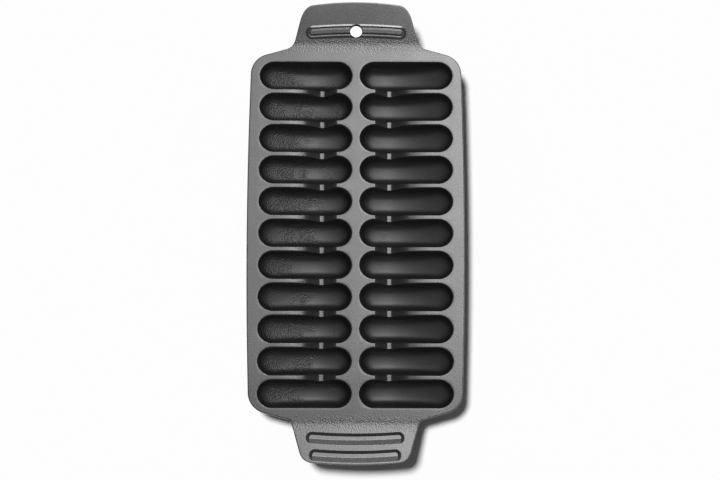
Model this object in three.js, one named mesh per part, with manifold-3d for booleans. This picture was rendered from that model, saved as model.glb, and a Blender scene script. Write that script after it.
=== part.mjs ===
// A cast iron shrimp pan: two columns of long pockets sunk in a flat deck, notched webs between them
// that let butter run from pocket to pocket, and an upswept handle at each end.
// Millimetres, +Z up, the origin on the resting plane below the middle of the pan's length and width.
// +Y points to the handle with the hanging hole.
import * as THREE from "three";
import { mergeVertices } from "three/addons/utils/BufferGeometryUtils.js";
import Module from "manifold-3d";

const wasm = await Module();
wasm.setup();

// Driving dimensions: the pockets
const POCKETS_PER_COLUMN = 11;
const POCKET_LENGTH = 71.5;
const POCKET_WIDTH = 21.9;
const POCKET_DEPTH = 18.5;
const DEEPEST_POINT = 23; // from the inner end of the mouth
const OUTER_END_RISE = 8; // how much shallower the floor is at the outer end
const WEB_THICKNESS = 2.7;
const SPINE_WIDTH = 6.4;
const WALL_THICKNESS = 4;
const FLOOR_THICKNESS = 3.5;
const FOOT_FLAT = 0.7; // how much is ground off the round underside to make a flat foot

// Driving dimensions: the notches in the webs
const NOTCH_DEPTH = 9.5;
const NOTCH_INNER_EDGE = 12; // from the inner end of the mouth
const NOTCH_FLAT_START = 21.2;
const NOTCH_FLAT_WIDTH = 3.6;
const NOTCH_OUTER_EDGE = 35;

// Driving dimensions: the deck around the pockets
const DECK_THICKNESS = 5;
const SIDE_BORDER = 7.3; // beside the pockets, at the ends of the pan
const SIDE_BOW = 2; // how far the long sides swell at mid length
const END_BORDER = 9.45;
const CORNER_RADIUS = 20;

// Driving dimensions: both handles
const HANDLE_THICKNESS = 5;
const HANDLE_SLOPE = THREE.MathUtils.degToRad(13);
const BEND_RUN = 2.7; // level stretch before the plate turns up

// Each handle's outline, as half widths and distances from its root
const REAR_OUTLINE = {
  rootHalf: 57,
  neckHalf: 47.4,
  neckAt: 7.6,
  shoulderHalf: 42.6,
  shoulderAt: 25.5,
  noseHalf: 34.5,
  noseAt: 33,
  length: 35.5,
};
const FRONT_OUTLINE = {
  rootHalf: 54,
  neckHalf: 47.2,
  neckAt: 7,
  shoulderHalf: 41.4,
  shoulderAt: 25,
  noseHalf: 34.5,
  noseAt: 31.2,
  length: 33.1,
};

// Driving dimensions: the hanging hole and the raised bead around it
const HOLE_DIAMETER = 9.3;
const HOLE_FROM_ROOT = 13.9;
const BEAD_LENGTH = 77;
const BEAD_SPAN = 8.8; // across the ring that the bead makes
const BEAD_WIDTH = 2.2;
const BEAD_HEIGHT = 1;
const BEAD_BOW = 1.4; // how far the middle of the ring lies beyond its ends

// Driving dimensions: the two finger grooves
const INNER_GROOVE_LENGTH = 75;
const OUTER_GROOVE_LENGTH = 70;
const GROOVE_WIDTH = 9.3;
const GROOVE_DEPTH = 1.5;
const GROOVE_BOW = 1.3;
const GROOVE_FROM_ROOT = 14.2;
const GROOVE_LAND = 3.3;

// How finely round shapes are cut into flats
const TROUGH_CAP_STEPS = 4;
const TROUGH_AROUND_STEPS = 16;
const TROUGH_LENGTH_STEPS = 4;
const OUTLINE_STEPS = 4;
const HOLE_STEPS = 24;

// What follows from them
const PITCH = POCKET_WIDTH + WEB_THICKNESS;
const DECK_HEIGHT = POCKET_DEPTH + FLOOR_THICKNESS;
const END_RADIUS = POCKET_WIDTH / 2;
const WALLED_RADIUS = END_RADIUS + WALL_THICKNESS;
const MOUTH_START = SPINE_WIDTH / 2;
const MOUTH_END = MOUTH_START + POCKET_LENGTH;
const FIELD_HALF_WIDTH = MOUTH_END + WALL_THICKNESS;
const END_ROW = ((POCKETS_PER_COLUMN - 1) / 2) * PITCH;
const FIELD_HALF_LENGTH = END_ROW + WALLED_RADIUS;
const BODY_HALF_WIDTH = MOUTH_END + SIDE_BORDER;
const BODY_HALF_LENGTH = END_ROW + END_RADIUS + END_BORDER;
const CUT_CLEAR = DECK_THICKNESS; // how far a cutter stands out of what it cuts
const MERGE_DISTANCE = 1e-4;

const iron = { color: 0x5b5b5d, roughness: 0.5, metalness: 0.85 };

// A closed three.js geometry as a solid, without the triangles that close up at a pole.
function solidOf(geometry) {
  const bare = geometry.clone();
  bare.deleteAttribute("normal");
  bare.deleteAttribute("uv");
  const merged = mergeVertices(bare, MERGE_DISTANCE);
  const corners = merged.index.array;
  const triVerts = [];
  for (let i = 0; i < corners.length; i += 3) {
    const [a, b, c] = corners.subarray(i, i + 3);
    if (a !== b && b !== c && c !== a) triVerts.push(a, b, c);
  }
  return new wasm.Manifold(
    new wasm.Mesh({
      numProp: 3,
      vertProperties: merged.attributes.position.array,
      triVerts: new Uint32Array(triVerts),
    }),
  );
}

// A finished solid as a named mesh of the pan's iron.
function ironMesh(name, solid) {
  const { vertProperties, triVerts } = solid.getMesh();
  const geometry = new THREE.BufferGeometry();
  geometry.setAttribute("position", new THREE.BufferAttribute(vertProperties, 3));
  geometry.setIndex(new THREE.BufferAttribute(triVerts, 1));
  const mesh = new THREE.Mesh(geometry, new THREE.MeshStandardMaterial(iron));
  mesh.name = name;
  return mesh;
}

// A plan outline raised from one height to another.
function raise(shape, from, to) {
  const geometry = new THREE.ExtrudeGeometry(shape, {
    depth: to - from,
    bevelEnabled: false,
    curveSegments: OUTLINE_STEPS,
  });
  return geometry.translate(0, 0, from);
}

// How deep the pocket floor lies below the deck, at a distance from the inner end of the mouth.
function floorDepth(along) {
  const rising = Math.max(0, along - DEEPEST_POINT) / (POCKET_LENGTH - DEEPEST_POINT);
  return POCKET_DEPTH - OUTER_END_RISE * rising ** 2;
}

// A round-ended trough whose mouth lies in the deck plane, stretched down to the pocket's floor.
function trough(radius, belowFloor) {
  const straight = POCKET_LENGTH - POCKET_WIDTH;
  const geometry = new THREE.CapsuleGeometry(
    radius,
    straight,
    TROUGH_CAP_STEPS,
    TROUGH_AROUND_STEPS,
    TROUGH_LENGTH_STEPS,
  );
  geometry.rotateZ(-Math.PI / 2);
  geometry.translate(POCKET_LENGTH / 2, 0, 0);
  const points = geometry.attributes.position;
  for (let i = 0; i < points.count; i++) {
    const depth = floorDepth(points.getX(i)) + belowFloor;
    const z = points.getZ(i);
    if (z < 0) points.setZ(i, (z * depth) / radius);
  }
  return solidOf(geometry.translate(MOUTH_START, 0, 0));
}

// The notch that a butter channel cuts in a web, towards the rear (+1) or the front (-1) of a pocket.
function notch(side) {
  const flatEnd = NOTCH_FLAT_START + NOTCH_FLAT_WIDTH;
  const profile = new THREE.Shape();
  profile.moveTo(NOTCH_INNER_EDGE, CUT_CLEAR);
  profile.lineTo(NOTCH_INNER_EDGE, 0);
  profile.lineTo(NOTCH_FLAT_START, -NOTCH_DEPTH);
  profile.lineTo(flatEnd, -NOTCH_DEPTH);
  profile.lineTo(NOTCH_OUTER_EDGE, 0);
  profile.lineTo(NOTCH_OUTER_EDGE, CUT_CLEAR);
  const geometry = raise(profile, 0, PITCH).rotateX(Math.PI / 2);
  return solidOf(geometry.translate(MOUTH_START, side > 0 ? PITCH : 0, 0));
}

// The plan of one pocket's share of the casting. An end row has a full wall and a round outer corner.
function cellPlan(atRear, atFront) {
  const rear = atRear ? WALLED_RADIUS : PITCH / 2;
  const front = atFront ? WALLED_RADIUS : PITCH / 2;
  const cornerX = FIELD_HALF_WIDTH - WALLED_RADIUS;
  const plan = new THREE.Shape();
  plan.moveTo(0, rear);
  plan.lineTo(0, -front);
  if (atFront) plan.absarc(cornerX, 0, WALLED_RADIUS, -Math.PI / 2, 0);
  else plan.lineTo(FIELD_HALF_WIDTH, -front);
  if (atRear) plan.absarc(cornerX, 0, WALLED_RADIUS, 0, Math.PI / 2);
  else plan.lineTo(FIELD_HALF_WIDTH, rear);
  return plan;
}

// One pocket with its half webs, its share of the deck and spine, and its foot.
function pocketCell(atRear, atFront) {
  const plan = cellPlan(atRear, atFront);
  const room = solidOf(raise(plan, -DECK_HEIGHT, 0));
  const slab = solidOf(raise(plan, -DECK_THICKNESS, 0));
  const shell = trough(WALLED_RADIUS, FLOOR_THICKNESS + FOOT_FLAT).intersect(room);
  let cell = shell.add(slab).subtract(trough(END_RADIUS, 0));
  if (!atRear) cell = cell.subtract(notch(1));
  if (!atFront) cell = cell.subtract(notch(-1));
  return cell;
}

// The four round corners of an outline, with its long sides straight or swollen by a bow.
function roundedOutline(path, halfWidth, halfLength, radius, bow) {
  const x = halfWidth - radius;
  const y = halfLength - radius;
  path.moveTo(halfWidth, -y);
  path.quadraticCurveTo(halfWidth + 2 * bow, 0, halfWidth, y);
  path.absarc(x, y, radius, 0, Math.PI / 2);
  path.absarc(-x, y, radius, Math.PI / 2, Math.PI);
  path.quadraticCurveTo(-halfWidth - 2 * bow, 0, -halfWidth, -y);
  path.absarc(-x, -y, radius, Math.PI, 1.5 * Math.PI);
  path.absarc(x, -y, radius, 1.5 * Math.PI, 2 * Math.PI);
  return path;
}

// The border of the deck that frames the field of pockets.
function deckRim() {
  const outline = new THREE.Shape();
  roundedOutline(outline, BODY_HALF_WIDTH, BODY_HALF_LENGTH, CORNER_RADIUS, SIDE_BOW);
  const field = new THREE.Path();
  roundedOutline(field, FIELD_HALF_WIDTH, FIELD_HALF_LENGTH, WALLED_RADIUS, 0);
  outline.holes.push(field);
  return solidOf(raise(outline, -DECK_THICKNESS, 0));
}

// A handle's plan, out from its root: flared neck, tapering sides, round shoulders and an arched nose.
function handlePlan(o) {
  const plan = new THREE.Shape();
  plan.moveTo(-o.rootHalf, 0);
  plan.lineTo(o.rootHalf, 0);
  plan.quadraticCurveTo(o.neckHalf, 0, o.neckHalf, o.neckAt);
  plan.lineTo(o.shoulderHalf, o.shoulderAt);
  plan.quadraticCurveTo(o.shoulderHalf, o.noseAt, o.noseHalf, o.noseAt);
  plan.quadraticCurveTo(0, 2 * o.length - o.noseAt, -o.noseHalf, o.noseAt);
  plan.quadraticCurveTo(-o.shoulderHalf, o.noseAt, -o.shoulderHalf, o.shoulderAt);
  plan.lineTo(-o.neckHalf, o.neckAt);
  plan.quadraticCurveTo(-o.neckHalf, 0, -o.rootHalf, 0);
  return plan;
}

// A handle's plate: its plan cut out of a strip that is bent up from the deck.
function handlePlate(o) {
  const reach = o.length + CUT_CLEAR;
  const lift = (reach - BEND_RUN) * Math.tan(HANDLE_SLOPE);
  const profile = new THREE.Shape();
  profile.moveTo(0, 0);
  profile.lineTo(0, -HANDLE_THICKNESS);
  profile.lineTo(BEND_RUN, -HANDLE_THICKNESS);
  profile.lineTo(reach, lift - HANDLE_THICKNESS);
  profile.lineTo(reach, lift);
  profile.lineTo(BEND_RUN, 0);
  const strip = raise(profile, -o.rootHalf, o.rootHalf);
  strip.applyMatrix4(new THREE.Matrix4().makeBasis(
    new THREE.Vector3(0, 1, 0),
    new THREE.Vector3(0, 0, 1),
    new THREE.Vector3(1, 0, 0),
  ));
  const plan = raise(handlePlan(o), -HANDLE_THICKNESS - CUT_CLEAR, lift + CUT_CLEAR);
  return solidOf(strip).intersect(solidOf(plan));
}

// A long round-ended outline bowed away from the root.
function bowedSlot(path, length, width, bow) {
  const half = (length - width) / 2;
  const radius = width / 2;
  path.moveTo(-half, -radius);
  path.quadraticCurveTo(0, 2 * bow - radius, half, -radius);
  path.absarc(half, 0, radius, -Math.PI / 2, Math.PI / 2);
  path.quadraticCurveTo(0, 2 * bow + radius, -half, radius);
  path.absarc(-half, 0, radius, Math.PI / 2, 1.5 * Math.PI);
  return path;
}

// Lays a plan feature on the sloping top of a handle, with its middle at a distance from the root.
function onSlope(geometry, fromRoot, bow) {
  const along = (fromRoot - BEND_RUN) / Math.cos(HANDLE_SLOPE);
  geometry.translate(0, along - bow, 0);
  geometry.rotateX(HANDLE_SLOPE);
  return solidOf(geometry.translate(0, BEND_RUN, 0));
}

// The handle that hangs the pan: a plate with a beaded ring and a hole through it.
function rearHandle() {
  const ring = bowedSlot(new THREE.Shape(), BEAD_LENGTH, BEAD_SPAN, BEAD_BOW);
  const inside = bowedSlot(
    new THREE.Path(),
    BEAD_LENGTH - 2 * BEAD_WIDTH,
    BEAD_SPAN - 2 * BEAD_WIDTH,
    BEAD_BOW,
  );
  ring.holes.push(inside);
  const bead = onSlope(raise(ring, -HANDLE_THICKNESS / 2, BEAD_HEIGHT), HOLE_FROM_ROOT, BEAD_BOW);
  const hole = new THREE.CylinderGeometry(
    HOLE_DIAMETER / 2,
    HOLE_DIAMETER / 2,
    2 * REAR_OUTLINE.length,
    HOLE_STEPS,
  );
  hole.rotateX(Math.PI / 2).translate(0, HOLE_FROM_ROOT, 0);
  return handlePlate(REAR_OUTLINE).add(bead).subtract(solidOf(hole));
}

// The handle that is gripped: a plate with two finger grooves.
function frontHandle() {
  let handle = handlePlate(FRONT_OUTLINE);
  [INNER_GROOVE_LENGTH, OUTER_GROOVE_LENGTH].forEach((length, i) => {
    const slot = bowedSlot(new THREE.Shape(), length, GROOVE_WIDTH, GROOVE_BOW);
    const fromRoot = GROOVE_FROM_ROOT + i * (GROOVE_WIDTH + GROOVE_LAND);
    const groove = raise(slot, -GROOVE_DEPTH, CUT_CLEAR);
    handle = handle.subtract(onSlope(groove, fromRoot, GROOVE_BOW));
  });
  return handle;
}

// One column of pockets, numbered from the rear.
function pocketColumn(side) {
  const column = new THREE.Group();
  for (let row = 0; row < POCKETS_PER_COLUMN; row++) {
    const cell = pocketCell(row === 0, row === POCKETS_PER_COLUMN - 1);
    const number = String(row + 1).padStart(2, "0");
    const mesh = ironMesh(`pocket_${side}_${number}`, cell);
    mesh.position.y = END_ROW - row * PITCH;
    column.add(mesh);
  }
  return column;
}

const pan = new THREE.Group();
pan.position.y = (FRONT_OUTLINE.length - REAR_OUTLINE.length) / 2;
pan.position.z = DECK_HEIGHT;
pan.add(ironMesh("deck_rim", deckRim()));

const rightColumn = pocketColumn("right");
const leftColumn = pocketColumn("left");
leftColumn.scale.x = -1;
pan.add(rightColumn, leftColumn);

const rear = ironMesh("rear_handle", rearHandle());
rear.position.y = BODY_HALF_LENGTH;
const front = ironMesh("front_handle", frontHandle());
front.position.y = -BODY_HALF_LENGTH;
front.rotation.z = Math.PI;
pan.add(rear, front);

const shrimpPan = new THREE.Group();
shrimpPan.add(pan);

export default shrimpPan;
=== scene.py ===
# A cast iron shrimp pan on a pale floor: two columns of black pockets sunk in a grey deck, notched webs
# that let butter run from pocket to pocket, and an upswept handle at each end.
# Metres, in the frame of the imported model: +Y points to the handle with the hanging hole.
import math

import bpy
import numpy as np
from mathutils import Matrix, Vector
from mathutils.geometry import delaunay_2d_cdt


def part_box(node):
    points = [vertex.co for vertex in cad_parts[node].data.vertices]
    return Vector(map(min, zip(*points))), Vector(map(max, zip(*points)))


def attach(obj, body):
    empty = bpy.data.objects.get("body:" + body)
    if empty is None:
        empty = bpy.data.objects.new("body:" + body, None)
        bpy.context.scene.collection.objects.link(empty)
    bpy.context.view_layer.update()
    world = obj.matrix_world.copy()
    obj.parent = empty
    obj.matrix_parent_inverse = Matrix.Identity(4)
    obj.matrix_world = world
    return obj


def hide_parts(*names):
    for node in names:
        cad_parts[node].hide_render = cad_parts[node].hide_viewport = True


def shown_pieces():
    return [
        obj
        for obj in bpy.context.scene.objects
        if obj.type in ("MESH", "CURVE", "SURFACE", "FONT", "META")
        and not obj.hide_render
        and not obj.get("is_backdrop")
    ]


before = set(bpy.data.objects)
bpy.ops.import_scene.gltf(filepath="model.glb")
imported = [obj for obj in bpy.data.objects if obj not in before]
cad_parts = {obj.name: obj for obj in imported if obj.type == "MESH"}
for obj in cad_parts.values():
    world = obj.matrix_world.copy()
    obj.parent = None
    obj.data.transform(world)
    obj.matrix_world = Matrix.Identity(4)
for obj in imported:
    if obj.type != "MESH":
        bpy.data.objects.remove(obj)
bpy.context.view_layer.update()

# The pockets
# Each one is a round-ended trough for a shrimp, cast in one pour with its half of each notched web.
# The iron is black with baked oil inside and partly painted shade, and rubbed to bare grey on its level top
# and in the notches, a grey that is partly painted light.
POCKET_ROWS = 11
POCKET_SIZES = {
    "Mouth start": 0.0032,
    "Pocket length": 0.0715,
    "Pocket width": 0.0219,
    "Pocket depth": 0.0185,
    "Deepest point": 0.025,
    "Inner end rise": 0.0038,
    "Outer end rise": 0.0105,
    "Inner ramp power": 2.0,
    "Outer ramp power": 1.7,
    "Dish curve": 9.8,
    "Dish middle": -0.004,
    "Squareness": 4.0,
    "Rear wall inset": 0.0008,
    "Rear wall taper": 0.16,
    "Front wall taper": 0.02,
    "Wall": 0.004,
    "Shell depth": 0.0227,
    "Shell rise start": 0.023,
    "Shell end rise": 0.008,
    "Deck thickness": 0.005,
    "Rim radius": 0.0008,
    "Notch depth": 0.0095,
    "Notch inner edge": 0.012,
    "Notch flat start": 0.0212,
    "Notch flat end": 0.0248,
    "Notch outer edge": 0.037,
    "Notch sharp ease": 0.0008,
    "Notch soft ease": 0.003,
    "Web dip start": 0.045,
    "Web dip slope": 0.19,
    "Wear and painted light on web": 0.0035,
    "Wear and painted light in notch": 0.0006,
}
POCKET_PLACE = ("Deck", "Cell end", "Rear margin", "Front margin", "Rear notch", "Front notch",
                "Rear corner", "Front corner", "Row", "Column")
STRETCH_INPUTS = ("Steps", "Axis start", "Axis end", "Turn start", "Turn end", "Reach", "Margin", "Notch",
                  "Corner")
STRAIGHT_STEPS = 120
QUARTER_STEPS = 14
# Stations across a pocket's section, from its floor over the rim and round to its underside
WALL_END, RIM_END, TOP_END, SIDE_END, SLAB_END, SECTION_STEPS = 18, 23, 26, 27, 28, 40
MERGE_DISTANCE = 1e-6
SHARP_ANGLE = math.radians(40)
# The iron's finish. A noise has its features to a metre, and the number of its finer layers
# The black is seasoned iron and also painted shade in the hollows and under the plates; the grey is bare worn
# iron and also painted light on the level faces
BLACK_AND_PAINTED_SHADE = 0.21
WORN_GREY_AND_PAINTED_LIGHT = 0.33
METAL_SHARE = 0.87
BLACK_ROUGHNESS = 0.42
RUBBED_ROUGHNESS = 0.29
GRAIN_NOISE = (900, 3)
SAND_NOISE = (2200, 2)
PEBBLE_NOISE = (1100, 0)
BLOTCH_NOISE = (45, 4)
SKIN_NOISE = (70, 1)
GRAIN_IN_WEAR_AND_PAINTED_LIGHT = 0.25
GRAIN_IN_TONE = 0.20
GRAIN_IN_ROUGHNESS = 0.20
BLOTCHES_IN_TONE = 0.35
SAND_IN_BUMPS = 0.5
PEBBLES_IN_BUMPS = 9.0
BUMPS_WORN_OFF = 0.6
BUMP_STRENGTH = 0.5
BUMP_HEIGHT = 0.0001
# The black skin is pebbled in patches, more so towards the left of the pan
PATCH_CONTRAST = 5.0
PATCH_SHORTFALL = 0.55
PATCHES_TO_LEFT = 25.0


class Rule:
    """A number in a node tree, so that the rule of a shape or a finish reads as a plain formula."""

    def __init__(self, socket):
        self.socket = socket

    def __add__(self, other):
        return work("ADD", self, other)

    def __radd__(self, other):
        return work("ADD", other, self)

    def __sub__(self, other):
        return work("SUBTRACT", self, other)

    def __rsub__(self, other):
        return work("SUBTRACT", other, self)

    def __mul__(self, other):
        return work("MULTIPLY", self, other)

    def __rmul__(self, other):
        return work("MULTIPLY", other, self)

    def __truediv__(self, other):
        return work("DIVIDE", self, other)

    def __rtruediv__(self, other):
        return work("DIVIDE", other, self)

    def __pow__(self, other):
        return work("POWER", self, other)


def work(operation, *values, clamp=False):
    """One Math node on numbers and rules."""
    tree = next(v.socket.id_data for v in values if isinstance(v, Rule))
    node = tree.nodes.new("ShaderNodeMath")
    node.operation = operation
    node.use_clamp = clamp
    for entry, value in zip(node.inputs, values):
        if isinstance(value, Rule):
            tree.links.new(value.socket, entry)
        else:
            entry.default_value = value
    return Rule(node.outputs[0])


def chosen(station, limit, up_to, beyond):
    """up_to as far as the station called limit, and beyond after it."""
    return up_to + (beyond - up_to) * work("GREATER_THAN", station, limit + 0.5)


def share(station, start, end):
    """How far the station has come from start to end, from 0 to 1."""
    return work("DIVIDE", station - start, end - start, clamp=True)


def floor_depth(size, x):
    """How deep the pocket is at x: its floor ramps up from the deepest point to both ends."""
    deepest = size["Mouth start"] + size["Deepest point"]
    outer_end = size["Mouth start"] + size["Pocket length"]
    outwards = work("MAXIMUM", x - deepest, 0.0) / (outer_end - deepest)
    inwards = work("MAXIMUM", deepest - x, 0.0) / size["Deepest point"]
    outer_rise = size["Outer end rise"] * outwards ** size["Outer ramp power"]
    inner_rise = size["Inner end rise"] * inwards ** size["Inner ramp power"]
    return size["Pocket depth"] - outer_rise - inner_rise


def shell_depth(size, x):
    """How deep the outside of the pocket is at x: level at first, then rising to its outer end."""
    start = size["Mouth start"] + size["Shell rise start"]
    outer_end = size["Mouth start"] + size["Pocket length"]
    rising = work("MAXIMUM", x - start, 0.0) / (outer_end - start)
    return size["Shell depth"] - size["Shell end rise"] * rising * rising


def notch_depth(size, x):
    """How deep a web is cut at x: a flat notch between a crisp ramp and a soft one, with a dip beyond it."""
    start, deep = size["Mouth start"], size["Notch depth"]
    sharp, soft = size["Notch sharp ease"], size["Notch soft ease"]
    inner, outer = start + size["Notch inner edge"], start + size["Notch outer edge"]
    flat_start, flat_end = start + size["Notch flat start"], start + size["Notch flat end"]
    inner_ramp = work("SMOOTH_MAX", deep * (x - inner) / (flat_start - inner), 0.0, sharp)
    dip = work("SMOOTH_MAX", size["Web dip slope"] * (start + size["Web dip start"] - x), 0.0, soft)
    outer_ramp = work("SMOOTH_MAX", deep * (outer - x) / (outer - flat_end), dip, soft)
    return work("SMOOTH_MIN", work("SMOOTH_MIN", inner_ramp, outer_ramp, sharp), deep, sharp)


def named_inputs(tree, values):
    """Gives a tree an input for each named value, and returns them as rules."""
    for name, value in values.items():
        entry = tree.interface.new_socket(name, in_out="INPUT", socket_type="NodeSocketFloat")
        entry.default_value = value
    given = tree.nodes.new("NodeGroupInput")
    return {name: Rule(given.outputs[name]) for name in values}


def pocket_stretch_tree():
    """The node tree of one stretch of a pocket, clockwise round its mouth: a straight side or a quarter of an
    end. Its axis runs along the pocket's middle line, and its turn says which way the section faces."""
    tree = bpy.data.node_groups.new("pocket stretch", "GeometryNodeTree")
    size = named_inputs(tree, {**POCKET_SIZES, **dict.fromkeys(POCKET_PLACE + STRETCH_INPUTS, 0.0)})
    tree.interface.new_socket("Stretch", in_out="OUTPUT", socket_type="NodeSocketGeometry")
    grid = tree.nodes.new("GeometryNodeMeshGrid")
    grid.inputs["Size X"].default_value = 1.0
    grid.inputs["Size Y"].default_value = 1.0
    grid.inputs["Vertices Y"].default_value = SECTION_STEPS + 1
    tree.links.new((size["Steps"] + 1.0).socket, grid.inputs["Vertices X"])
    place = tree.nodes.new("GeometryNodeInputPosition")
    split = tree.nodes.new("ShaderNodeSeparateXYZ")
    tree.links.new(place.outputs[0], split.inputs[0])
    along = Rule(split.outputs["X"]) + 0.5
    station = (Rule(split.outputs["Y"]) + 0.5) * SECTION_STEPS

    middle = size["Axis start"] + (size["Axis end"] - size["Axis start"]) * along
    angle = size["Turn start"] + (size["Turn end"] - size["Turn start"]) * along
    to_x, to_y = work("COSINE", angle), work("SINE", angle)
    radius = size["Pocket width"] * 0.5
    rim = size["Rim radius"]
    lowered = notch_depth(size, middle) * size["Notch"]

    # From the floor up the wall, then over the rounded rim
    squareness = size["Squareness"]
    wall_inset = size["Rear wall inset"] * work("MAXIMUM", to_y, 0.0)
    to_rear = to_y * 0.5 + 0.5
    taper = size["Front wall taper"] + (size["Rear wall taper"] - size["Front wall taper"]) * to_rear
    mouth_depth = floor_depth(size, middle + radius * to_x)

    def lean_at(drop):
        """The lean of the section where it is a given drop below the deck."""
        return work("ARCSINE", (drop / mouth_depth) ** (squareness * 0.5))

    def section(lean):
        """Distance from the middle line and height of the pocket's wall at a lean."""
        across = work("MAXIMUM", work("COSINE", lean), 0.0) ** (2.0 / squareness)
        down = work("MAXIMUM", work("SINE", lean), 0.0) ** (2.0 / squareness)
        r = (radius - wall_inset) * across * (1.0 - taper * down)
        aside = r * to_y - size["Dish middle"]
        dish = size["Dish curve"] * aside * aside
        return r, (dish - floor_depth(size, middle + r * to_x)) * down

    rim_lean = lean_at(lowered + rim)
    wall_r, wall_z = section(share(station, 0, WALL_END) * (rim_lean - math.pi / 2) + math.pi / 2)
    start_r, start_z = section(rim_lean)
    edge_r, _ = section(lean_at(lowered))
    over = share(station, WALL_END, RIM_END)
    rest = 1.0 - over
    rim_r = rest * rest * start_r + 2.0 * over * rest * edge_r + over * over * (edge_r + rim)
    rim_z = rest * rest * start_z - (1.0 - rest * rest) * lowered
    inner_r = chosen(station, WALL_END, wall_r, rim_r)
    inner_x, inner_y = middle + inner_r * to_x, inner_r * to_y
    inner_z = chosen(station, WALL_END, wall_z, rim_z)

    # Across the level top to the edge of the pocket's share of the deck
    root_two = math.sqrt(2)
    square_x = work("MAXIMUM", work("MINIMUM", to_x * root_two, 1.0), -1.0)
    square_y = work("MAXIMUM", work("MINIMUM", to_y * root_two, 1.0), -1.0)
    edge_x = middle + size["Reach"] * (square_x + (to_x - square_x) * size["Corner"])
    edge_y = size["Margin"] * (square_y + (to_y - square_y) * size["Corner"])
    top = share(station, RIM_END, TOP_END)
    top_x = middle + (edge_r + rim) * to_x
    top_y = (edge_r + rim) * to_y
    top_x, top_y = top_x + (edge_x - top_x) * top, top_y + (edge_y - top_y) * top

    # Down the side, under the deck slab and round the outside of the trough to its flat foot
    outer_radius = radius + size["Wall"]
    cell_r = work("SQRT", (edge_x - middle) * (edge_x - middle) + edge_y * edge_y)
    out_x, out_y = (edge_x - middle) / cell_r, edge_y / cell_r
    bulge = shell_depth(size, edge_x)
    slab = size["Deck thickness"]
    cell_share = work("MINIMUM", cell_r / outer_radius, 1.0)
    slab_share = slab / bulge
    bottom = work("MAXIMUM", slab, bulge * work("SQRT", 1.0 - cell_share * cell_share))
    shell_r = work("MINIMUM", cell_r, outer_radius * work("SQRT", 1.0 - slab_share * slab_share))
    shell_start = work("ARCCOSINE", shell_r / outer_radius)
    around = share(station, SLAB_END, SECTION_STEPS)
    shell_angle = shell_start + (math.pi / 2 - shell_start) * around
    swept_r = outer_radius * work("COSINE", shell_angle)
    shell_x, shell_y = middle + swept_r * out_x, swept_r * out_y
    shell_drop = shell_depth(size, shell_x) * work("SINE", shell_angle)
    shell_z = -1.0 * work("MINIMUM", shell_drop, size["Deck"])
    under = share(station, SIDE_END, SLAB_END)
    side = share(station, TOP_END, SIDE_END)
    under_x = edge_x + (middle + shell_r * out_x - edge_x) * under
    under_y = edge_y + (shell_r * out_y - edge_y) * under
    side_z = -1.0 * (lowered + (bottom - lowered) * side)

    x = chosen(station, RIM_END, inner_x, chosen(station, TOP_END, top_x,
               chosen(station, SLAB_END, under_x, shell_x)))
    y = chosen(station, RIM_END, inner_y, chosen(station, TOP_END, top_y,
               chosen(station, SLAB_END, under_y, shell_y)))
    z = chosen(station, RIM_END, inner_z, chosen(station, SLAB_END, side_z, shell_z))

    # Where the iron is rubbed bare and takes painted light: the level top and the flat bottom of a notch, not
    # its ramps, which stay black with painted shade
    on_top = work("SUBTRACT", 1.0, lowered / size["Wear and painted light on web"], clamp=True)
    on_flat = work("SUBTRACT", 1.0, (size["Notch depth"] - lowered) / size["Wear and painted light in notch"], clamp=True)
    worn_and_painted_light = tree.nodes.new("GeometryNodeStoreNamedAttribute")
    worn_and_painted_light.inputs["Name"].default_value = "worn_and_painted_light"
    tree.links.new(grid.outputs["Mesh"], worn_and_painted_light.inputs["Geometry"])
    tree.links.new(((over - side) * work("MAXIMUM", on_top, on_flat)).socket, worn_and_painted_light.inputs["Value"])
    point = tree.nodes.new("ShaderNodeCombineXYZ")
    for entry, value in zip(point.inputs, (x * size["Column"], y + size["Row"], z + size["Deck"])):
        tree.links.new(value.socket, entry)
    shaped = tree.nodes.new("GeometryNodeSetPosition")
    tree.links.new(worn_and_painted_light.outputs[0], shaped.inputs["Geometry"])
    tree.links.new(point.outputs[0], shaped.inputs["Position"])
    result = tree.nodes.new("NodeGroupOutput")
    tree.links.new(shaped.outputs[0], result.inputs[0])
    return tree


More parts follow.
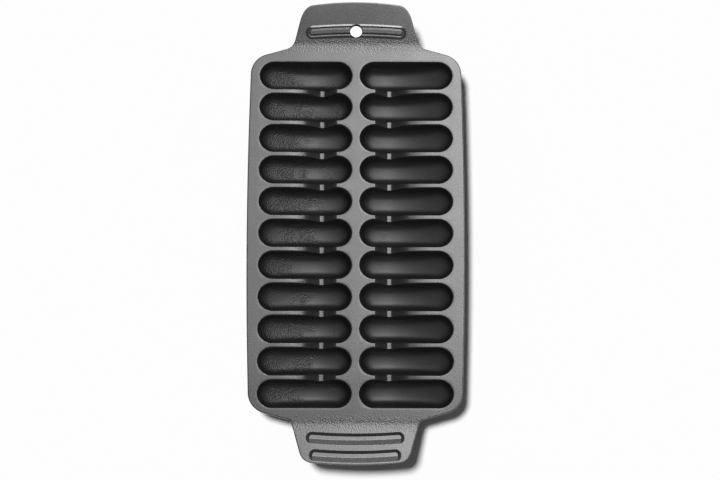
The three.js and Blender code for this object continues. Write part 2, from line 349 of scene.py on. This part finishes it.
def pocket_tree():
    """The node tree of one pocket, with its sizes and its place as inputs."""
    stretch_tree = pocket_stretch_tree()
    tree = bpy.data.node_groups.new("pocket", "GeometryNodeTree")
    tree.interface.new_socket("Iron", in_out="INPUT", socket_type="NodeSocketMaterial")
    tree.interface.new_socket("Pocket", in_out="OUTPUT", socket_type="NodeSocketGeometry")
    size = named_inputs(tree, {**POCKET_SIZES, **dict.fromkeys(POCKET_PLACE, 0.0)})
    iron = tree.nodes["Group Input"].outputs["Iron"]

    radius = size["Pocket width"] * 0.5
    inner = size["Mouth start"] + radius
    outer = size["Mouth start"] + size["Pocket length"] - radius
    beyond = size["Cell end"] - outer
    rear, front = size["Rear margin"], size["Front margin"]
    quarter = math.pi / 2
    straight, curved = STRAIGHT_STEPS, QUARTER_STEPS
    stretches = [
        (straight, inner, outer, quarter, quarter, beyond, rear, size["Rear notch"], 0.0),
        (curved, outer, outer, quarter, 0.0, beyond, rear, 0.0, size["Rear corner"]),
        (curved, outer, outer, 0.0, -quarter, beyond, front, 0.0, size["Front corner"]),
        (straight, outer, inner, -quarter, -quarter, beyond, front, size["Front notch"], 0.0),
        (curved, inner, inner, -quarter, -2 * quarter, inner, front, 0.0, 0.0),
        (curved, inner, inner, -2 * quarter, -3 * quarter, inner, rear, 0.0, 0.0),
    ]
    joined = tree.nodes.new("GeometryNodeJoinGeometry")
    for stretch in stretches:
        node = tree.nodes.new("GeometryNodeGroup")
        node.node_tree = stretch_tree
        for name, value in {**size, **dict(zip(STRETCH_INPUTS, stretch))}.items():
            if isinstance(value, Rule):
                tree.links.new(value.socket, node.inputs[name])
            else:
                node.inputs[name].default_value = value
        tree.links.new(node.outputs[0], joined.inputs[0])
    merged = tree.nodes.new("GeometryNodeMergeByDistance")
    merged.inputs["Distance"].default_value = MERGE_DISTANCE
    tree.links.new(joined.outputs[0], merged.inputs["Geometry"])
    turned = tree.nodes.new("GeometryNodeFlipFaces")
    tree.links.new(merged.outputs[0], turned.inputs["Mesh"])
    tree.links.new(work("LESS_THAN", size["Column"], 0.0).socket, turned.inputs["Selection"])
    coated = tree.nodes.new("GeometryNodeSetMaterial")
    tree.links.new(turned.outputs[0], coated.inputs["Geometry"])
    tree.links.new(iron, coated.inputs["Material"])
    result = tree.nodes.new("NodeGroupOutput")
    tree.links.new(coated.outputs[0], result.inputs[0])
    return tree


def cast_iron(name, grey, black):
    """Cast iron: black and grainy as it left the sand and darkened by painted shade, bare grey and brightened
    by painted light where its mask attribute says so.
    """
    material = bpy.data.materials.new(name)
    material.use_nodes = True
    nodes, links = material.node_tree.nodes, material.node_tree.links
    shader = nodes["Principled BSDF"]
    shader.inputs["Metallic"].default_value = METAL_SHARE
    where = nodes.new("ShaderNodeTexCoord").outputs["Object"]

    def noise(scale, detail):
        node = nodes.new("ShaderNodeTexNoise")
        node.inputs["Scale"].default_value = scale
        node.inputs["Detail"].default_value = detail
        links.new(where, node.inputs["Vector"])
        return Rule(node.outputs["Fac"]) - 0.5

    def attribute(word):
        node = nodes.new("ShaderNodeAttribute")
        node.attribute_name = word
        return Rule(node.outputs["Fac"])

    grain, sand, pebbles = noise(*GRAIN_NOISE), noise(*SAND_NOISE), noise(*PEBBLE_NOISE)
    blotches, skin = noise(*BLOTCH_NOISE), noise(*SKIN_NOISE)

    # Its colour and gloss, by how far it is worn bare and takes painted light; elsewhere the black carries
    # painted shade
    worn_and_painted_light = work("ADD", attribute("worn_and_painted_light"), grain * GRAIN_IN_WEAR_AND_PAINTED_LIGHT, clamp=True)
    mottling = grain * GRAIN_IN_TONE + blotches * BLOTCHES_IN_TONE + 1.0
    tone = mottling * (worn_and_painted_light * (grey - black) + black)
    colour = nodes.new("ShaderNodeCombineColor")
    for entry in colour.inputs:
        links.new(tone.socket, entry)
    links.new(colour.outputs[0], shader.inputs["Base Color"])
    polish = worn_and_painted_light * (BLACK_ROUGHNESS - RUBBED_ROUGHNESS)
    links.new((grain * GRAIN_IN_ROUGHNESS + BLACK_ROUGHNESS - polish).socket, shader.inputs["Roughness"])

    # The bumps that the sand left: fine ones all over, pebbles in patches and where it is gritty
    sides = nodes.new("ShaderNodeSeparateXYZ")
    links.new(where, sides.inputs[0])
    patches = skin * PATCH_CONTRAST - PATCH_SHORTFALL - Rule(sides.outputs["X"]) * PATCHES_TO_LEFT
    pebbled = work("MAXIMUM", work("MULTIPLY", patches, 1.0 - worn_and_painted_light, clamp=True), attribute("gritty"))
    fine = (grain + sand * SAND_IN_BUMPS) * (1.0 - worn_and_painted_light * BUMPS_WORN_OFF)
    bump = nodes.new("ShaderNodeBump")
    bump.inputs["Strength"].default_value = BUMP_STRENGTH
    bump.inputs["Distance"].default_value = BUMP_HEIGHT
    links.new((fine + pebbles * pebbled * PEBBLES_IN_BUMPS).socket, bump.inputs["Height"])
    links.new(bump.outputs[0], shader.inputs["Normal"])
    return material


def finished(piece, node):
    """Marks hard edges, and fixes a piece to the pan in the place of its CAD node."""
    piece.data.shade_smooth()
    piece.data.set_sharp_from_angle(angle=SHARP_ANGLE)
    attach(piece, "root")
    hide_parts(node)


def cast_pocket(tree, iron, column, row):
    """One pocket of the left (-1) or right (1) column, counted from the rear, as a plain mesh."""
    word = "left" if column < 0 else "right"
    node = f"pocket_{word}_{row:02d}"
    low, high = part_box(node)
    cell_low, cell_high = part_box(f"pocket_right_{POCKET_ROWS // 2:02d}")
    half_pitch = (cell_high.y - cell_low.y) / 2
    at_rear, at_front = row == 1, row == POCKET_ROWS
    middle = high.y - half_pitch if at_front else low.y + half_pitch
    place = {
        "Iron": iron,
        "Deck": high.z,
        "Cell end": cell_high.x,
        "Rear margin": high.y - middle,
        "Front margin": middle - low.y,
        "Rear notch": float(not at_rear),
        "Front notch": float(not at_front),
        "Rear corner": float(at_rear),
        "Front corner": float(at_front),
        "Row": middle,
        "Column": float(column),
    }
    piece = bpy.data.objects.new(f"{word}_pocket_{row:02d}", bpy.data.meshes.new("pocket"))
    bpy.context.scene.collection.objects.link(piece)
    shape = piece.modifiers.new("pocket", "NODES")
    shape.node_group = tree
    for entry in tree.interface.items_tree:
        if entry.name in place:
            shape[entry.identifier] = place[entry.name]
    evaluated = piece.evaluated_get(bpy.context.evaluated_depsgraph_get())
    mesh = bpy.data.meshes.new_from_object(evaluated)
    piece.modifiers.remove(shape)
    piece.data = mesh
    finished(piece, node)


pocket_iron = cast_iron("pocket iron", WORN_GREY_AND_PAINTED_LIGHT, BLACK_AND_PAINTED_SHADE)
pocket_rule = pocket_tree()
for column in (-1, 1):
    for row in range(1, POCKET_ROWS + 1):
        cast_pocket(pocket_rule, pocket_iron, column, row)

# The deck rim
# A flat border that frames the field of pockets, cast with them and rubbed as grey as their tops, a grey that
# is partly painted light, over an underside black with painted shade.
# Its long sides swell a little, its ends slant back to rounded corners, and each end carries a handle.
deck_low, deck_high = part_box("deck_rim")
DECK_MIDDLE = (deck_low.y + deck_high.y) / 2
BODY_HALF_LENGTH = (deck_high.y - deck_low.y) / 2
SIDE_BOW = 0.002
BODY_HALF_WIDTH = deck_high.x - SIDE_BOW
CORNER_RADIUS = 0.016
SHOULDER_SLANT = math.radians(15.5)
PLATE_THICKNESS = 0.005
EDGE_RADIUS = 0.0008
EDGE_STEPS = 5
EDGE_LAND = 0.0005
FIELD_HALF_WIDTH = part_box("pocket_right_01")[1].x
FIELD_HALF_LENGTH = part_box("pocket_right_01")[1].y - DECK_MIDDLE
FIELD_RADIUS = POCKET_SIZES["Pocket width"] / 2 + POCKET_SIZES["Wall"]
CURVE_STEPS = 24
PATTERN_TOLERANCE = 1e-7
POINTS_AT_ONCE = 4000
# Half widths of a handle and their distances out from its root, where the flare out of the deck ends
REAR_NECK = ((0.0548, 0.0), (0.0474, 0.0076), (0.0439, 0.0205))
FRONT_NECK = ((0.0505, 0.0), (0.0472, 0.007), (0.0423, 0.0235))
# The rim stops just past the root line, where the handle's own piece begins
SEAM = 0.00005
# The iron is still gritty where the handles bend up
BEND_START = 0.0013
BEND_RUN = 0.002
BEND_GRIT = 0.4
GRIT_REACH = 0.007


def quadratic(start, control, end, steps):
    """Points of a quadratic curve after its start."""
    t = np.linspace(0, 1, steps + 1)[1:, None]
    start, control, end = map(np.array, (start, control, end))
    return (1 - t) ** 2 * start + 2 * t * (1 - t) * control + t * t * end


def arc(centre, radius, start, end, steps):
    """Points of an arc, angles in quarter turns."""
    a = np.linspace(start, end, steps + 1) * math.pi / 2
    return np.array(centre) + radius * np.stack([np.cos(a), np.sin(a)], 1)


def meeting(p, p_to, q, q_to):
    """Where the line from p to p_to meets the line from q to q_to."""
    p, p_to, q, q_to = map(np.array, (p, p_to, q, q_to))
    share_p = np.linalg.solve(np.stack([p_to - p, q - q_to], 1), q - p)[0]
    return p + share_p * (p_to - p)


def flare(root, neck, shoulder):
    """The curve from a handle's root, on from the deck's slanted end, to its neck."""
    control = meeting(neck, shoulder, root, (0.0, root[1] + root[0] * math.tan(SHOULDER_SLANT)))
    return np.concatenate([np.array([root]), quadratic(root, control, neck, CURVE_STEPS)])


def mirrored(right):
    """A closed loop from its right half, which starts and ends on the middle line or across from itself."""
    left = right[::-1] * (-1, 1)
    first = 1 if abs(right[-1, 0]) < MERGE_DISTANCE else 0
    last = -1 if abs(right[0, 0]) < MERGE_DISTANCE else None
    return np.concatenate([right, left[first:last]])


def inset(loop, distance):
    """An anticlockwise loop moved inwards."""
    ahead = np.roll(loop, -1, 0) - np.roll(loop, 1, 0)
    ahead /= np.linalg.norm(ahead, axis=1)[:, None]
    return loop + distance * np.stack([-ahead[:, 1], ahead[:, 0]], 1)


def inside(points, loop):
    """Which points lie inside a closed loop."""
    a, b = loop, np.roll(loop, -1, 0)
    found = []
    for start in range(0, len(points), POINTS_AT_ONCE):
        p = points[start:start + POINTS_AT_ONCE, None]
        spans = (a[:, 1] > p[..., 1]) != (b[:, 1] > p[..., 1])
        rise = np.where(spans, b[:, 1] - a[:, 1], 1)
        cross = a[:, 0] + (p[..., 1] - a[:, 1]) * (b[:, 0] - a[:, 0]) / rise
        found.append((spans & (p[..., 0] < cross)).sum(1) % 2 == 1)
    return np.concatenate(found)


def to_loop(points, loop):
    """Distance from each point to a closed loop."""
    a = loop
    ab = np.roll(loop, -1, 0) - a
    found = []
    for start in range(0, len(points), POINTS_AT_ONCE):
        p = points[start:start + POINTS_AT_ONCE, None]
        t = np.clip(((p - a) * ab).sum(2) / (ab * ab).sum(1), 0, 1)
        found.append(np.linalg.norm(p - a - t[..., None] * ab, axis=2).min(1))
    return np.concatenate(found)


def rounding(distance, radius):
    """How much a rounded edge falls away, at a distance in from the edge."""
    left = np.clip(radius - distance, 0, radius)
    return radius - np.sqrt(radius ** 2 - left ** 2)


def quarter_steps(radius):
    """Distances in from an edge at which a rounded edge has its points."""
    return radius * (1 - np.cos(np.linspace(0, math.pi / 2, EDGE_STEPS + 1)))


def plate(name, iron, outline, openings, rings, lines, begins, heights):
    """A closed piece of plate with rounded edges. Its flat pattern lies inside an outline, outside openings
    and beyond the line where it begins. Heights gives its level and its relief at points of the pattern."""
    loops = [outline]
    loops += [inset(outline, d) for d in (*quarter_steps(EDGE_RADIUS)[1:], EDGE_RADIUS + EDGE_LAND)]
    loops += [*openings, *rings]
    corners, edges = [], []
    for loop in loops:
        first, count = len(corners), len(loop)
        corners.extend(loop)
        edges.extend((first + i, first + (i + 1) % count) for i in range(count))
    for start, end in lines:
        edges.append((len(corners), len(corners) + 1))
        corners.extend([start, end])
    flat, _, faces, *_ = delaunay_2d_cdt(corners, edges, [], 0, PATTERN_TOLERANCE)
    flat, faces = np.array(flat), np.array(faces)
    centres = flat[faces].mean(1)
    kept = inside(centres, outline) & begins(centres[:, 1])
    for opening in openings:
        kept &= ~inside(centres, opening)
    used, faces = np.unique(faces[kept], return_inverse=True)
    flat, faces = flat[used], faces.reshape(-1, 3).tolist()
    count = len(flat)

    level, relief = heights(*flat.T)
    fall = rounding(to_loop(flat, outline), EDGE_RADIUS)
    points = np.concatenate([
        np.column_stack([flat + (0, DECK_MIDDLE), level + relief - fall]),
        np.column_stack([flat + (0, DECK_MIDDLE), level - PLATE_THICKNESS + fall]),
    ])
    sides = {(a, b) for f in faces for a, b in zip(f, f[1:] + f[:1])}
    open_sides = [(a, b) for a, b in sorted(sides) if (b, a) not in sides]
    mesh = bpy.data.meshes.new(name)
    mesh.from_pydata(
        points.tolist(),
        [],
        faces
        + [[c + count, b + count, a + count] for a, b, c in faces]
        + [[a, a + count, b + count, b] for a, b in open_sides],
    )
    past_root = np.abs(flat[:, 1]) - BODY_HALF_LENGTH
    from_bend = np.abs(past_root - BEND_START - BEND_RUN)
    grit = BEND_GRIT * np.clip(2 - 2 * from_bend / GRIT_REACH, 0, 1)
    # The top is rubbed grey and partly painted light, the underside black and partly painted shade
    worn_and_painted_light = mesh.attributes.new("worn_and_painted_light", "FLOAT", "POINT")
    worn_and_painted_light.data.foreach_set("value", np.repeat([1.0, 0.0], count))
    gritty = mesh.attributes.new("gritty", "FLOAT", "POINT")
    gritty.data.foreach_set("value", np.tile(grit, 2))
    mesh.materials.append(iron)
    piece = bpy.data.objects.new(name, mesh)
    bpy.context.scene.collection.objects.link(piece)
    return piece


def corner_centre(neck):
    """The middle of the rounding between a long side and the slanted line to a handle's root."""
    x = BODY_HALF_WIDTH - CORNER_RADIUS
    slanted_back = (x - neck[0][0]) * math.tan(SHOULDER_SLANT)
    return x, BODY_HALF_LENGTH - slanted_back - CORNER_RADIUS / math.cos(SHOULDER_SLANT)


corner_x, rear_corner_y = corner_centre(REAR_NECK)
front_corner_y = corner_centre(FRONT_NECK)[1]
turned_share = 1 - SHOULDER_SLANT / (math.pi / 2)
rear_flare = flare(*REAR_NECK) + (0, BODY_HALF_LENGTH)
front_flare = (flare(*FRONT_NECK) + (0, BODY_HALF_LENGTH)) * (1, -1)
body_outline = mirrored(np.concatenate([
    front_flare[::-1],
    arc((corner_x, -front_corner_y), CORNER_RADIUS, -turned_share, 0, CURVE_STEPS),
    quadratic((BODY_HALF_WIDTH, -front_corner_y), (BODY_HALF_WIDTH + 2 * SIDE_BOW, 0.0),
              (BODY_HALF_WIDTH, rear_corner_y), 4 * CURVE_STEPS)[:-1],
    arc((corner_x, rear_corner_y), CORNER_RADIUS, 0, turned_share, CURVE_STEPS),
    rear_flare,
]))
field_x, field_y = FIELD_HALF_WIDTH - FIELD_RADIUS, FIELD_HALF_LENGTH - FIELD_RADIUS
field = np.concatenate([
    arc((x * field_x, y * field_y), FIELD_RADIUS, first, first + 1, QUARTER_STEPS)
    for x, y, first in ((1, 1, 0), (-1, 1, 1), (-1, -1, 2), (1, -1, 3))
])
seam_y = BODY_HALF_LENGTH + SEAM
seams = [((-BODY_HALF_WIDTH, y), (BODY_HALF_WIDTH, y)) for y in (-seam_y, seam_y)]
deck_iron = cast_iron("deck iron", WORN_GREY_AND_PAINTED_LIGHT, BLACK_AND_PAINTED_SHADE)
rim = plate("rim", deck_iron, body_outline, [field], [], seams,
            begins=lambda y: np.abs(y) < seam_y,
            heights=lambda x, y: (np.full(len(x), deck_high.z), 0.0))
finished(rim, "deck_rim")

# The rear handle
# A plate of the same iron, swept up from the deck's end, with a hole to hang the pan by.
# A raised lip runs across it round a low rib, and the hole goes through both.
REAR_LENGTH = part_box("rear_handle")[1].y - deck_high.y
# A handle's top is grey: bare iron, and partly painted light
HANDLE_GREY = 0.305
REAR_NOSE = (0.0330, 0.0333)
HANDLE_SLOPE = math.radians(13)
BEND_STEPS = 9
HOLE_RADIUS = 0.00465
HOLE_EDGE = 0.0006
HOLE_FROM_ROOT = 0.0139
HOLE_STEPS = 64
LIP_HALF_LENGTH = 0.0341
LIP_BOW = 0.0014
LIP_INNER_FOOT = 0.0029
LIP_CREST = 0.0038
LIP_OUTER_FOOT = 0.0052
LIP_HEIGHT = 0.0007
RIB_HALF_WIDTH = 0.0025
RIB_FLANK = 0.0011
RIB_HEIGHT = 0.0008
RING_STEP = 0.0002
RINGS_BEYOND = 2


def handle_outline(neck, nose, length):
    """The outline of a handle beyond the root line, and of enough deck before it to carry its flare on."""
    shoulder = neck[-1]
    slant_start = (corner_x, (neck[0][0] - corner_x) * math.tan(SHOULDER_SLANT))
    tip_control = (nose[0] / 2, length)
    turn = meeting(neck[1], shoulder, tip_control, nose)
    return mirrored(np.concatenate([
        np.array([(corner_x, -CORNER_RADIUS), slant_start]),
        flare(*neck),
        np.array([shoulder]),
        quadratic(shoulder, turn, nose, CURVE_STEPS),
        quadratic(nose, tip_control, (0.0, length), CURVE_STEPS),
    ]))


def plate_bend(out):
    """How far a handle has risen at a distance out from its root."""
    bent = np.maximum(out - BEND_START, 0)
    rise = np.where(bent < 2 * BEND_RUN, bent ** 2 / (4 * BEND_RUN), bent - BEND_RUN)
    return math.tan(HANDLE_SLOPE) * rise


def bowed_rings(from_root, half_length, bow, reach):
    """Loops on a handle, a step apart, round a line bowed towards its ends, to just beyond their reach."""
    x = np.linspace(-half_length, half_length, 4 * CURVE_STEPS + 1)
    line = np.stack([x, -bow * (x / half_length) ** 2], 1)
    loops = []
    for distance in RING_STEP * np.arange(1, round(reach / RING_STEP) + RINGS_BEYOND + 1):
        up, down = line + (0, distance), (line - (0, distance))[::-1]
        right_end = arc(line[-1], distance, 1, -1, CURVE_STEPS)
        left_end = arc(line[0], distance, -1, -3, CURVE_STEPS)
        loop = np.concatenate([up[:-1], right_end, down[1:-1], left_end[:-1]])
        loops.append(loop * (1, math.cos(HANDLE_SLOPE)) + (0, from_root))
    return loops


def from_bowed_line(x, out, from_root, half_length, bow):
    """Distance from a bowed line on a handle, and how far to its outer side a point lies."""
    across = (out - from_root) / math.cos(HANDLE_SLOPE)
    held = np.clip(x, -half_length, half_length)
    aside = across + bow * (held / half_length) ** 2
    return np.hypot(x - held, aside), aside


def eased(value):
    """A smooth step from 0 to 1."""
    value = np.clip(value, 0, 1)
    return value * value * (3 - 2 * value)


def rear_heights(x, y):
    """Level of the rear handle, and the relief of its lip and rib, down to the hole's rounded edge."""
    out = y - BODY_HALF_LENGTH
    away, _ = from_bowed_line(x, out, HOLE_FROM_ROOT, LIP_HALF_LENGTH, LIP_BOW)
    lip = np.interp(away, (LIP_INNER_FOOT, LIP_CREST, LIP_OUTER_FOOT), (0, LIP_HEIGHT, 0))
    rib = RIB_HEIGHT * eased((RIB_HALF_WIDTH - away) / RIB_FLANK)
    hole_edge = rounding(np.hypot(x, out - HOLE_FROM_ROOT) - HOLE_RADIUS, HOLE_EDGE)
    return deck_high.z + plate_bend(out), lip + rib - hole_edge


def bend_lines(end):
    """Lines across a handle where it bends up from the deck, at the rear (1) or front (-1) end."""
    outs = (SEAM, *np.linspace(BEND_START, BEND_START + 2 * BEND_RUN, BEND_STEPS))
    levels = [end * (BODY_HALF_LENGTH + out) for out in outs]
    return [((-corner_x, y), (corner_x, y)) for y in levels]


root_line = (0, BODY_HALF_LENGTH)
hole_loops = [
    arc((0.0, HOLE_FROM_ROOT), HOLE_RADIUS + d, 0, 4, HOLE_STEPS)[:-1] + root_line
    for d in (*quarter_steps(HOLE_EDGE), HOLE_EDGE + EDGE_LAND)
]
lip_rings = [
    ring + root_line
    for ring in bowed_rings(HOLE_FROM_ROOT, LIP_HALF_LENGTH, LIP_BOW, LIP_OUTER_FOOT)
]
handle_iron = cast_iron("handle iron", HANDLE_GREY, BLACK_AND_PAINTED_SHADE)
hanging_handle = plate(
    "hanging_handle",
    handle_iron,
    handle_outline(REAR_NECK, REAR_NOSE, REAR_LENGTH) + root_line,
    [hole_loops[0]],
    [*hole_loops[1:], *lip_rings],
    bend_lines(1),
    begins=lambda y: y > seam_y,
    heights=rear_heights,
)
finished(hanging_handle, "rear_handle")

# The front handle
# A plate like the rear one, a little narrower, to lift the pan by.
# Two grooves for the fingers run across it, steep towards the deck and easier outwards.
FRONT_LENGTH = deck_low.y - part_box("front_handle")[0].y
FRONT_NOSE = (0.0325, 0.0315)
# Distance from the root and half length of each groove
GROOVES = ((0.0142, 0.03285), (0.0270, 0.03035))
GROOVE_HALF_WIDTH = 0.0046
GROOVE_DEPTH = 0.0024
GROOVE_BOW = 0.0013
GROOVE_WALL = 0.0026
GROOVE_RAMP = 0.0040


def front_heights(x, y):
    """Level of the front handle, and the relief of its grooves: steep towards the root, easier outwards."""
    out = -y - BODY_HALF_LENGTH
    depth = np.zeros(len(x))
    for from_root, half_length in GROOVES:
        away, aside = from_bowed_line(x, out, from_root, half_length, GROOVE_BOW)
        wall = (GROOVE_HALF_WIDTH - away) / GROOVE_WALL
        ramp = (GROOVE_HALF_WIDTH - aside) / GROOVE_RAMP
        depth += GROOVE_DEPTH * np.clip(np.minimum(wall, ramp), 0, 1)
    return deck_high.z + plate_bend(out), -depth


def turned_over(loop):
    """A loop of the front handle, from its own root, in the pan's flat pattern."""
    return (loop * (1, -1) - root_line)[::-1]


groove_rings = [ring for from_root, half_length in GROOVES
                for ring in bowed_rings(from_root, half_length, GROOVE_BOW, GROOVE_HALF_WIDTH)]
grip_handle = plate(
    "grip_handle",
    handle_iron,
    turned_over(handle_outline(FRONT_NECK, FRONT_NOSE, FRONT_LENGTH)),
    [],
    [turned_over(ring) for ring in groove_rings],
    bend_lines(-1),
    begins=lambda y: y < -seam_y,
    heights=front_heights,
)
finished(grip_handle, "front_handle")

# The floor
# A pale level floor that the pan stands on, large enough to fill the view from any side.
FLOOR_HALF = 8.0
FLOOR_PAINT = (0.8, 0.8, 0.8, 1.0)
FLOOR_ROUGHNESS = 1.0
FLOOR_CORNERS = ((-1, -1), (1, -1), (1, 1), (-1, 1))
floor_mesh = bpy.data.meshes.new("floor")
floor_mesh.from_pydata([(x * FLOOR_HALF, y * FLOOR_HALF, 0) for x, y in FLOOR_CORNERS], [], [(0, 1, 2, 3)])
floor = bpy.data.objects.new("floor", floor_mesh)
bpy.context.scene.collection.objects.link(floor)
floor_paint = bpy.data.materials.new("floor paint")
floor_paint.use_nodes = True
floor_shader = floor_paint.node_tree.nodes["Principled BSDF"]
floor_shader.inputs["Base Color"].default_value = FLOOR_PAINT
floor_shader.inputs["Roughness"].default_value = FLOOR_ROUGHNESS
floor_mesh.materials.append(floor_paint)
floor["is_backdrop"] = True

# The camera and the lamps
# The camera looks down from above the pan's front half, in a dim grey room. A soft box with a brighter side
# and middle lights the pan, a lamp at the rear the handles alone, and two more lamps the floor alone.
CAMERA_PLACE = (0.00132, -0.08416, 0.942)
CAMERA_TURN = (0.0836, -0.0024, 0.0022)
CAMERA_LENS = 60.0
CAMERA_SENSOR = 36.0
ROOM_GREY = (0.085, 0.085, 0.085, 1.0)
# Watts, place, width and length of each panel that hangs level over the pan
SOFT_BOX = {
    "soft box": (10.3, (0.225, 0.98, 3.0), 1.71, 2.62),
    "bright side": (7.4, (0.67, 0.98, 2.99), 0.82, 2.62),
    "bright middle": (1.2, (0.36, 1.15, 2.98), 0.43, 0.43),
}
REAR_LAMP_WATTS = 22.0
REAR_LAMP_PLACE = (0.1, 2.6, 2.05)
REAR_LAMP_WIDTH = 1.6
REAR_LAMP_HEIGHT = 1.2
FLOOR_LAMP_STRENGTH = 3.97
FLOOR_LAMP_PLACE = (-0.31, 0.34, 1.0)
FLOOR_LAMP_ANGLE = math.radians(13)
HOLE_LAMP_WATTS = 60.0
HOLE_LAMP_ANGLE = math.radians(1.2)
PAN_MIDDLE = Vector((0, 0, deck_high.z))
HOLE_PLACE = Vector((0, DECK_MIDDLE + BODY_HALF_LENGTH + HOLE_FROM_ROOT, deck_high.z))
world = bpy.data.worlds.new("room")
bpy.context.scene.world = world
world.use_nodes = True
world.node_tree.nodes["Background"].inputs["Color"].default_value = ROOM_GREY


def lamp(name, kind, energy, place, aim, lit, **settings):
    """A lamp at a place, turned to face a point, for some pieces alone."""
    data = bpy.data.lights.new(name, kind)
    data.energy = energy
    for key, value in settings.items():
        setattr(data, key, value)
    made = bpy.data.objects.new(name, data)
    made.location = place
    made.rotation_euler = (aim - made.location).to_track_quat("-Z", "Y").to_euler()
    bpy.context.scene.collection.objects.link(made)
    made.light_linking.receiver_collection = lit


pan_only = bpy.data.collections.new("pan only")
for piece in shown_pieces():
    pan_only.objects.link(piece)
handles_only = bpy.data.collections.new("handles only")
handles_only.objects.link(hanging_handle)
handles_only.objects.link(grip_handle)
floor_only = bpy.data.collections.new("floor only")
floor_only.objects.link(floor)
for name, (watts, place, width, length) in SOFT_BOX.items():
    below = Vector((place[0], place[1], 0.0))
    lamp(name, "AREA", watts, place, below, pan_only, shape="RECTANGLE", size=width, size_y=length)
lamp("rear lamp", "AREA", REAR_LAMP_WATTS, REAR_LAMP_PLACE, PAN_MIDDLE, handles_only,
     shape="RECTANGLE", size=REAR_LAMP_WIDTH, size_y=REAR_LAMP_HEIGHT)
lamp("floor lamp", "SUN", FLOOR_LAMP_STRENGTH, FLOOR_LAMP_PLACE, Vector((0.0, 0.0, 0.0)), floor_only,
     angle=FLOOR_LAMP_ANGLE)
lamp("hole lamp", "SPOT", HOLE_LAMP_WATTS, CAMERA_PLACE, HOLE_PLACE, floor_only,
     spot_size=HOLE_LAMP_ANGLE, spot_blend=0.0)

camera_data = bpy.data.cameras.new("camera")
camera_data.lens = CAMERA_LENS
camera_data.sensor_width = CAMERA_SENSOR
camera = bpy.data.objects.new("camera", camera_data)
camera.location = CAMERA_PLACE
camera.rotation_euler = CAMERA_TURN
bpy.context.scene.collection.objects.link(camera)
bpy.context.scene.camera = camera
bpy.context.scene.view_settings.view_transform = "Standard"
